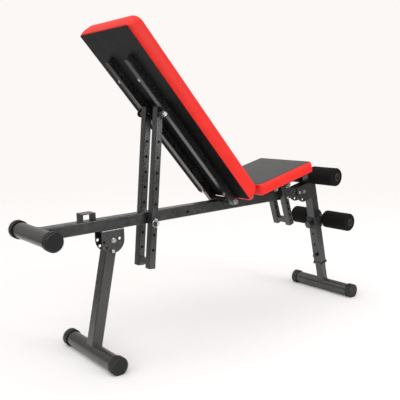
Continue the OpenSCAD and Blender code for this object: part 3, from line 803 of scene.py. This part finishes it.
def add_staples(name, half_x, half_y, corner, matrix):
    """Upholstery staples holding the dust cover's edge."""
    shell = Shell()
    wire = 0.35 * MM
    half = 5 * MM
    pitch = 42 * MM
    most_skew = 0.25
    half_shape = ((1.0, 0.6 * MM), (1.0, -0.15 * MM), (0.8, -0.4 * MM))
    shape = [(-share, z) for share, z in half_shape] + list(reversed(half_shape))
    rng = random.Random(7)
    for p, normal in outline(half_x, half_y, corner, pitch):
        skew = rng.uniform(-most_skew, most_skew)
        along = Vector((-normal.y, normal.x, 0))
        along.rotate(Matrix.Rotation(skew, 3, "Z"))
        path = [p + along * half * share + UP_Z * z for share, z in shape]
        shell.sweep(path, [wire] * len(path), sides=6)
    return shell.build(name, BLACK_STEEL, matrix)


def upholster(body, place, start, length, width, thick, corners, edge, seam_turn, belly, crown):
    """Pad, stitches, dust cover and staples of one cushion, start being how far up from its hinge."""
    half_x = length / 2
    half_y = width / 2
    inside = 0.8 * MM           # the cage starts this much inside the CAD cushion's sides
    hinge_gap = 7 * MM          # the cover stops this much shorter at the hinge end
    margin = belly + 2 * MM     # red vinyl left bare round the cover
    hem = 6 * MM                # staples in from the cover's edge
    cover_corner = 5 * MM
    rails = (57 * MM, 12 * MM)
    matrix = place @ Matrix.Translation((start + half_x, 0, RAIL_TOP + 0.3 * MM))
    sides = (half_x - inside, half_y - inside, thick - 2 * MM)
    pad = Pad(body + "_pad", *sides, corners, edge, seam_turn, belly)
    swollen = pad.swell(crown)
    points = pad.settle(swollen)
    obj = pad.finish(points, matrix)
    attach(obj, body)
    stitch_inset = edge * (1 - math.cos(math.radians(seam_turn))) + 6 * MM
    stitches = add_stitches(body + "_stitches", pad, points, stitch_inset, matrix)
    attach(stitches, body)
    cover_half_x = half_x - hinge_gap / 2 - margin
    cover_half_y = half_y - margin
    flat = place @ Matrix.Translation((start + half_x + hinge_gap / 2, 0, RAIL_TOP - 0.05 * MM))
    cover = add_cover(body + "_dust_cover", cover_half_x, cover_half_y, cover_corner, rails, flat)
    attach(cover, body)
    staple_x = cover_half_x - hem
    staple_y = cover_half_y - hem
    staples = add_staples(body + "_staples", staple_x, staple_y, cover_corner, flat)
    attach(staples, body)
    return obj, stitches, cover, staples


back_parts = upholster(
    "backrest", BACK, start=-1 * MM, length=757 * MM, width=292 * MM, thick=60 * MM,
    corners=(12 * MM, 32 * MM), edge=20 * MM, seam_turn=58, belly=4 * MM, crown=4 * MM,
)
seat_parts = upholster(
    "seat", SEAT, start=-9 * MM, length=295 * MM, width=280 * MM, thick=44.5 * MM,
    corners=(10 * MM, 14 * MM), edge=9 * MM, seam_turn=72, belly=2 * MM, crown=4 * MM,
)
for prefix, (pad_piece, stitch_piece, cover_piece, staple_piece) in (
    ("back", back_parts),
    ("seat", seat_parts),
):
    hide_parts(prefix + "_cushion")
    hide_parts(prefix + "_board")

# ---------------------------------------------------------------- foam rollers

FOAM_BORE = 12.8 * MM


def roller_profile(radius, half):
    """(along, radius) points of a foam roller: bulging end faces, rounded shoulders, uneven side."""
    shoulder = 6.5 * MM
    bulge = 0.6 * MM
    dip = 0.35 * MM
    steps = 7
    spans = 20
    end = [
        (0.0, FOAM_BORE),
        (-bulge, FOAM_BORE + 2.5 * MM),
        (-0.2 * MM, radius - shoulder - 5 * MM),
    ]
    for t in range(steps + 1):
        a = math.radians(90 * t / steps)
        end.append((shoulder * (1 - math.cos(a)), radius - shoulder + shoulder * math.sin(a)))
    left = [(-half + s + bulge, r) for s, r in end]
    right = [(half - s - bulge, r) for s, r in reversed(end)]
    first = left[-1][0]
    last = right[0][0]
    middle = []
    for t in range(1, spans):
        y = first + (last - first) * t / spans
        middle.append((y, radius - dip * (1 - math.cos(t * 2.1))))
    return left + middle + right


def add_roller(node):
    """Foam roller in place of its CAD solid."""
    lo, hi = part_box(node)
    centre = node_centre(node)
    sides = 72
    lump_depth = 0.3 * MM
    shell = Shell()
    rings = []
    for along, r in roller_profile((hi[0] - lo[0]) / 2, (hi[1] - lo[1]) / 2):
        ring = []
        for s in range(sides):
            a = 2 * math.pi * s / sides
            outward = Vector((math.cos(a), 0, math.sin(a)))
            p = outward * r + UP_Y * along
            if r > FOAM_BORE + MM:
                p += outward * (lump_depth * (noise.noise(p * 60 + centre * 10) - 1))
            ring.append(centre + p)
        rings.append(ring)
    shell.rings(rings, closed_path=True)
    obj = shell.build(node + "_foam", FOAM)
    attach(obj, node)
    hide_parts(node)


for roller in ("upper_roller_near", "upper_roller_far", "lower_roller_near", "lower_roller_far"):
    add_roller(roller)

# ---------------------------------------------------------------- weld beads


def ripple(path, radius, pitch=2.6 * MM):
    """Bead radii with the ripple a torch leaves."""
    depth = 0.16
    radii = []
    run = 0.0
    for i, p in enumerate(path):
        if i:
            run += (p - path[i - 1]).length
        radii.append(radius * (1 + depth * math.sin(2 * math.pi * run / pitch)))
    return radii


def resample(path, step=0.65 * MM, closed=False):
    """Even points along a polyline."""
    pts = path + [path[0]] if closed else path
    out = [pts[0]]
    left = step
    for a, b in zip(pts, pts[1:]):
        gap = (b - a).length
        while gap > left:
            out.append(a.lerp(b, left / gap))
            a = out[-1]
            gap = (b - a).length
            left = step
        left -= gap
    if closed and (out[-1] - out[0]).length < step * 0.6:
        out.pop()
    return out


class Welds:
    """All weld beads that ride on one body."""

    def __init__(self, body, prefix="", look=PAINT, slot="frame_paint"):
        self.body = body
        self.name = prefix + "welds_" + body
        self.look = look
        self.slot = slot
        self.shell = Shell()

    def bead(self, path, radius=1.7 * MM, closed=False):
        """Rippled bead along a polyline."""
        pts = resample(path, closed=closed)
        self.shell.sweep(pts, ripple(pts, radius), closed=closed)

    def saddle(self, tube_centre, along, half_side, tube_radius):
        """Round a square tube where it meets a round cross tube."""
        across = along.cross(UP_Y).normalized()
        path = []
        for p, _ in outline(half_side, half_side, 3 * MM, 2 * MM):
            rise = math.sqrt(max(0.0, tube_radius ** 2 - p.x ** 2))
            path.append(tube_centre + across * p.x + UP_Y * p.y + along * rise)
        self.bead(path, 2.0 * MM, closed=True)

    def circle(self, centre, radius, y, first=0.0, last=360.0, bead=1.6 * MM):
        """Arc on a face square to Y, angles in the X-Z plane."""
        count = 48
        whole = last - first >= 360
        path = []
        for i in range(count + (0 if whole else 1)):
            a = math.radians(first + (last - first) * i / count)
            path.append(Vector((centre.x + radius * math.cos(a), y, centre.z + radius * math.sin(a))))
        self.bead(path, bead, closed=whole)

    def line(self, matrix, first, last, radius=1.7 * MM):
        """Straight bead between two points of a local frame."""
        self.bead([matrix @ Vector(first), matrix @ Vector(last)], radius)

    def square(self, matrix, half, y, radius=1.4 * MM):
        """Round a square tube that ends on a face square to Y."""
        corners = [(-half, -half), (half, -half), (half, half), (-half, half)]
        path = [matrix @ Vector((x, y, z)) for x, z in corners]
        self.bead(path, radius, closed=True)

    def build(self):
        """The piece, riding on its body."""
        obj = self.shell.build(self.name, self.look)
        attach(obj, self.body)


def beam_frame(x):
    """Frame on the beam's centreline, X along the beam."""
    pivot = joint_place("front_leg_fold")
    z = pivot.z + (x - pivot.x) * math.tan(BEAM_RISE)
    return Matrix.Translation((x, 0, z)) @ Matrix.Rotation(-BEAM_RISE, 4, "Y")


def hinge_tube_welds(welds, hinge):
    """Beads where a pad's hinge tube rests on the beam."""
    beam = beam_frame(hinge.x)
    above = hinge.z - (beam.translation.z + HALF_TUBE)
    clear = 14      # degrees left free at each end of an arc
    turn = math.degrees(math.asin(max(-1, min(1, -above / BAR_RADIUS))))
    for y in (-HALF_TUBE, HALF_TUBE):
        welds.circle(hinge, BAR_RADIUS, y, 180 - turn + clear, 360 + turn - clear)
    reach = math.sqrt(max(0, BAR_RADIUS ** 2 - above ** 2))
    half = 16 * MM
    for x in (-reach, reach):
        welds.line(beam, (x, -half, HALF_TUBE), (x, half, HALF_TUBE), 1.5 * MM)


def beam_welds():
    """Beads of the handle, the hinge tubes and the strut saddle on the beam."""
    welds = Welds("frame")
    along = Vector((math.cos(BEAM_RISE), 0, math.sin(BEAM_RISE)))
    welds.saddle(node_centre("handle_tube"), along, HALF_TUBE, CROSS_TUBE_RADIUS)
    for name in ("backrest_tilt", "seat_tilt"):
        hinge_tube_welds(welds, joint_place(name))
    beam = beam_frame(node_centre("saddle").x)
    half = 17 * MM
    for x in (-23 * MM, 23 * MM):
        welds.line(beam, (x, -half, HALF_TUBE), (x, half, HALF_TUBE), 1.5 * MM)
    welds.build()


def bracket_welds():
    """Bare bright beads along the top of the rear bracket's plates."""
    pivot = joint_place("rear_leg_fold")
    bracket = Matrix.Translation(pivot) @ Matrix.Rotation(-BEAM_RISE, 4, "Y")
    half = 39 * MM
    top = 33.5 * MM
    welds = Welds("frame", "bracket_", ZINC, "zinc_steel")
    for y in (-BRACKET_FACE, BRACKET_FACE):
        welds.line(bracket, (-half, y, top), (half, y, top), 2.2 * MM)
    welds.build()


def foot_welds():
    """Beads of each leg's end on its foot tube."""
    rear_foot = node_centre("rear_foot")
    rear_up = (joint_place("rear_leg_fold") - rear_foot).normalized()
    rear = Welds("rear_leg")
    rear.saddle(rear_foot, rear_up, HALF_TUBE, CROSS_TUBE_RADIUS)
    rear.build()
    front_up = Vector(JOINTS["foot_slide"]["axis"])
    front = Welds("foot")
    front.saddle(node_centre("front_foot"), front_up, HALF_INNER, CROSS_TUBE_RADIUS)
    front.build()


def roller_bar_welds():
    """Beads of the roller bars on the front leg and the sleeve, and of the front bracket's plates."""
    plate_x = 47 * MM
    plate_low = -41 * MM
    plate_high = 25 * MM
    half_sleeve = 15 * MM
    leg = Welds("front_leg")
    for side in (-1, 1):
        leg.circle(node_centre("upper_bar"), BAR_RADIUS, side * HALF_TUBE)
        y = side * BRACKET_FACE
        leg.line(LEG, (plate_x, y, plate_low), (plate_x, y, plate_high))
    leg.build()
    sleeve = Welds("sleeve")
    for y in (-half_sleeve, half_sleeve):
        sleeve.circle(node_centre("lower_bar"), BAR_RADIUS, y)
    sleeve.build()


def ear_welds(body, place, distance):
    """Beads of the strut ears on a pad's rails, at a distance up from the hinge."""
    ear_y = 68.2 * MM
    ear_z = 8 * MM
    half = 17 * MM
    welds = Welds(body)
    for y in (-ear_y, ear_y):
        welds.line(place, (distance - half, y, ear_z), (distance + half, y, ear_z), 1.6 * MM)
    welds.build()


def strut_welds(body, place, length):
    """Beads of the cross tube between a strut's two legs, near their low end."""
    leg_y = 20.3 * MM
    half_cross = 10 * MM
    cross = place @ Matrix.Translation((0, 0, -length + 18 * MM))
    welds = Welds(body)
    for y in (-leg_y, leg_y):
        welds.square(cross, half_cross, y)
    welds.build()


beam_welds()
bracket_welds()
foot_welds()
roller_bar_welds()
ear_welds("backrest", BACK, 445 * MM)
ear_welds("seat", SEAT, 205 * MM)
strut_welds("back_strut", BACK_STRUT, 509 * MM)
strut_welds("seat_strut", SEAT_STRUT, 178 * MM)

# ---------------------------------------------------------------- floor, light, camera


def studio_paper(name, colour):
    """Matt white paper with a very faint mottle, faded into the backdrop far off.

    Light that it throws back onto the bench also fades outwards."""
    k = Nodes(name)
    paper = k.mix(k.noise(1.5, 2), scaled(colour, 0.99), colour)
    from_middle = k.add("ShaderNodeVectorMath", operation="LENGTH")
    k.link(k.place, from_middle.inputs[0])
    distance = from_middle.outputs["Value"]
    opaque = k.spread(distance, 1.2, 4.5, 1.0, 0.0)
    far = k.spread(distance, 0.9, 2.2, 0.0, 1.0)
    bounced = k.mix(far, paper, grey(0.12))
    seen = k.add("ShaderNodeLightPath").outputs["Is Camera Ray"]
    tone = k.mix(seen, bounced, paper)
    return k.done(Base_Color=tone, Roughness=0.9, Specular_IOR_Level=0.1, Alpha=opaque)


def add_floor():
    """Wide paper floor that runs into the white distance."""
    half = 60.0
    points = [(-half, -half, 0), (half, -half, 0), (half, half, 0), (-half, half, 0)]
    paper = studio_paper("studio_paper", (0.86, 0.845, 0.84))
    make_object("studio_floor", points, [(0, 1, 2, 3)], paper)


def add_side_box(place, target, size, power):
    """Soft box on the near side, past the seat end."""
    light = bpy.data.lights.new("side_box", "AREA")
    light.shape = "RECTANGLE"
    light.size, light.size_y = size
    light.energy = power
    obj = bpy.data.objects.new("side_box", light)
    obj.location = place
    obj.rotation_euler = (Vector(target) - Vector(place)).to_track_quat("-Z", "Y").to_euler()
    SCENE.collection.objects.link(obj)


def add_sun(source, spread, strength):
    """Very wide soft light from the direction of source."""
    light = bpy.data.lights.new("sky_panel", "SUN")
    light.angle = math.radians(spread)
    light.energy = strength
    obj = bpy.data.objects.new("sky_panel", light)
    obj.rotation_euler = Vector(source).to_track_quat("Z", "Y").to_euler()
    SCENE.collection.objects.link(obj)


def add_world(behind, ahead, backdrop):
    """White backdrop for the camera; the room lights the bench from ahead more than from behind."""
    warm_white = (1.0, 0.972, 0.955, 1.0)
    way_ahead = (0.6, 0.72, 0.35)
    world = bpy.data.worlds.new("studio")
    world.use_nodes = True
    tree = world.node_tree
    ground = tree.nodes["Background"]
    ground.inputs["Color"].default_value = warm_white
    place = tree.nodes.new("ShaderNodeTexCoord")
    facing = tree.nodes.new("ShaderNodeVectorMath")
    facing.operation = "DOT_PRODUCT"
    facing.inputs[1].default_value = way_ahead
    tree.links.new(place.outputs["Generated"], facing.inputs[0])
    room = tree.nodes.new("ShaderNodeMapRange")
    room.inputs["From Min"].default_value = -0.8
    room.inputs["From Max"].default_value = 0.9
    room.inputs["To Min"].default_value = behind
    room.inputs["To Max"].default_value = ahead
    tree.links.new(facing.outputs["Value"], room.inputs["Value"])
    seen = tree.nodes.new("ShaderNodeLightPath")
    pick = tree.nodes.new("ShaderNodeMix")
    pick.inputs["B"].default_value = backdrop
    tree.links.new(seen.outputs["Is Camera Ray"], pick.inputs["Factor"])
    tree.links.new(room.outputs["Result"], pick.inputs["A"])
    tree.links.new(pick.outputs["Result"], ground.inputs["Strength"])
    SCENE.world = world


def add_camera():
    """Camera behind the backrest on the near side, slightly above beam height."""
    place = (-1.3413, -1.5707, 0.7703)
    yaw = math.radians(50.449)
    pitch = math.radians(-8.329)
    roll = math.radians(-0.291)
    level = Vector((math.cos(yaw), math.sin(yaw), 0))
    forward = level * math.cos(pitch) + UP_Z * math.sin(pitch)
    level_right = level.cross(UP_Z)
    level_up = level_right.cross(forward)
    right = level_right * math.cos(roll) + level_up * math.sin(roll)
    up = level_up * math.cos(roll) - level_right * math.sin(roll)
    camera = bpy.data.cameras.new("camera")
    camera.sensor_width = 36
    camera.lens = 51.558
    camera.clip_start = 0.01
    obj = bpy.data.objects.new("camera", camera)
    basis = Matrix((right, up, -forward)).transposed().to_4x4()
    obj.matrix_world = Matrix.Translation(place) @ basis
    SCENE.collection.objects.link(obj)
    SCENE.camera = obj


add_floor()
add_world(behind=0.1, ahead=0.6, backdrop=0.965)
add_sun(source=(-1.0, -0.5, 1.7), spread=100, strength=2.9)
add_side_box(place=(1.2, -3.2, 1.5), target=(0.2, 0, 0.4), size=(1.4, 2.2), power=45)
add_camera()
SCENE.view_settings.view_transform = "Standard"
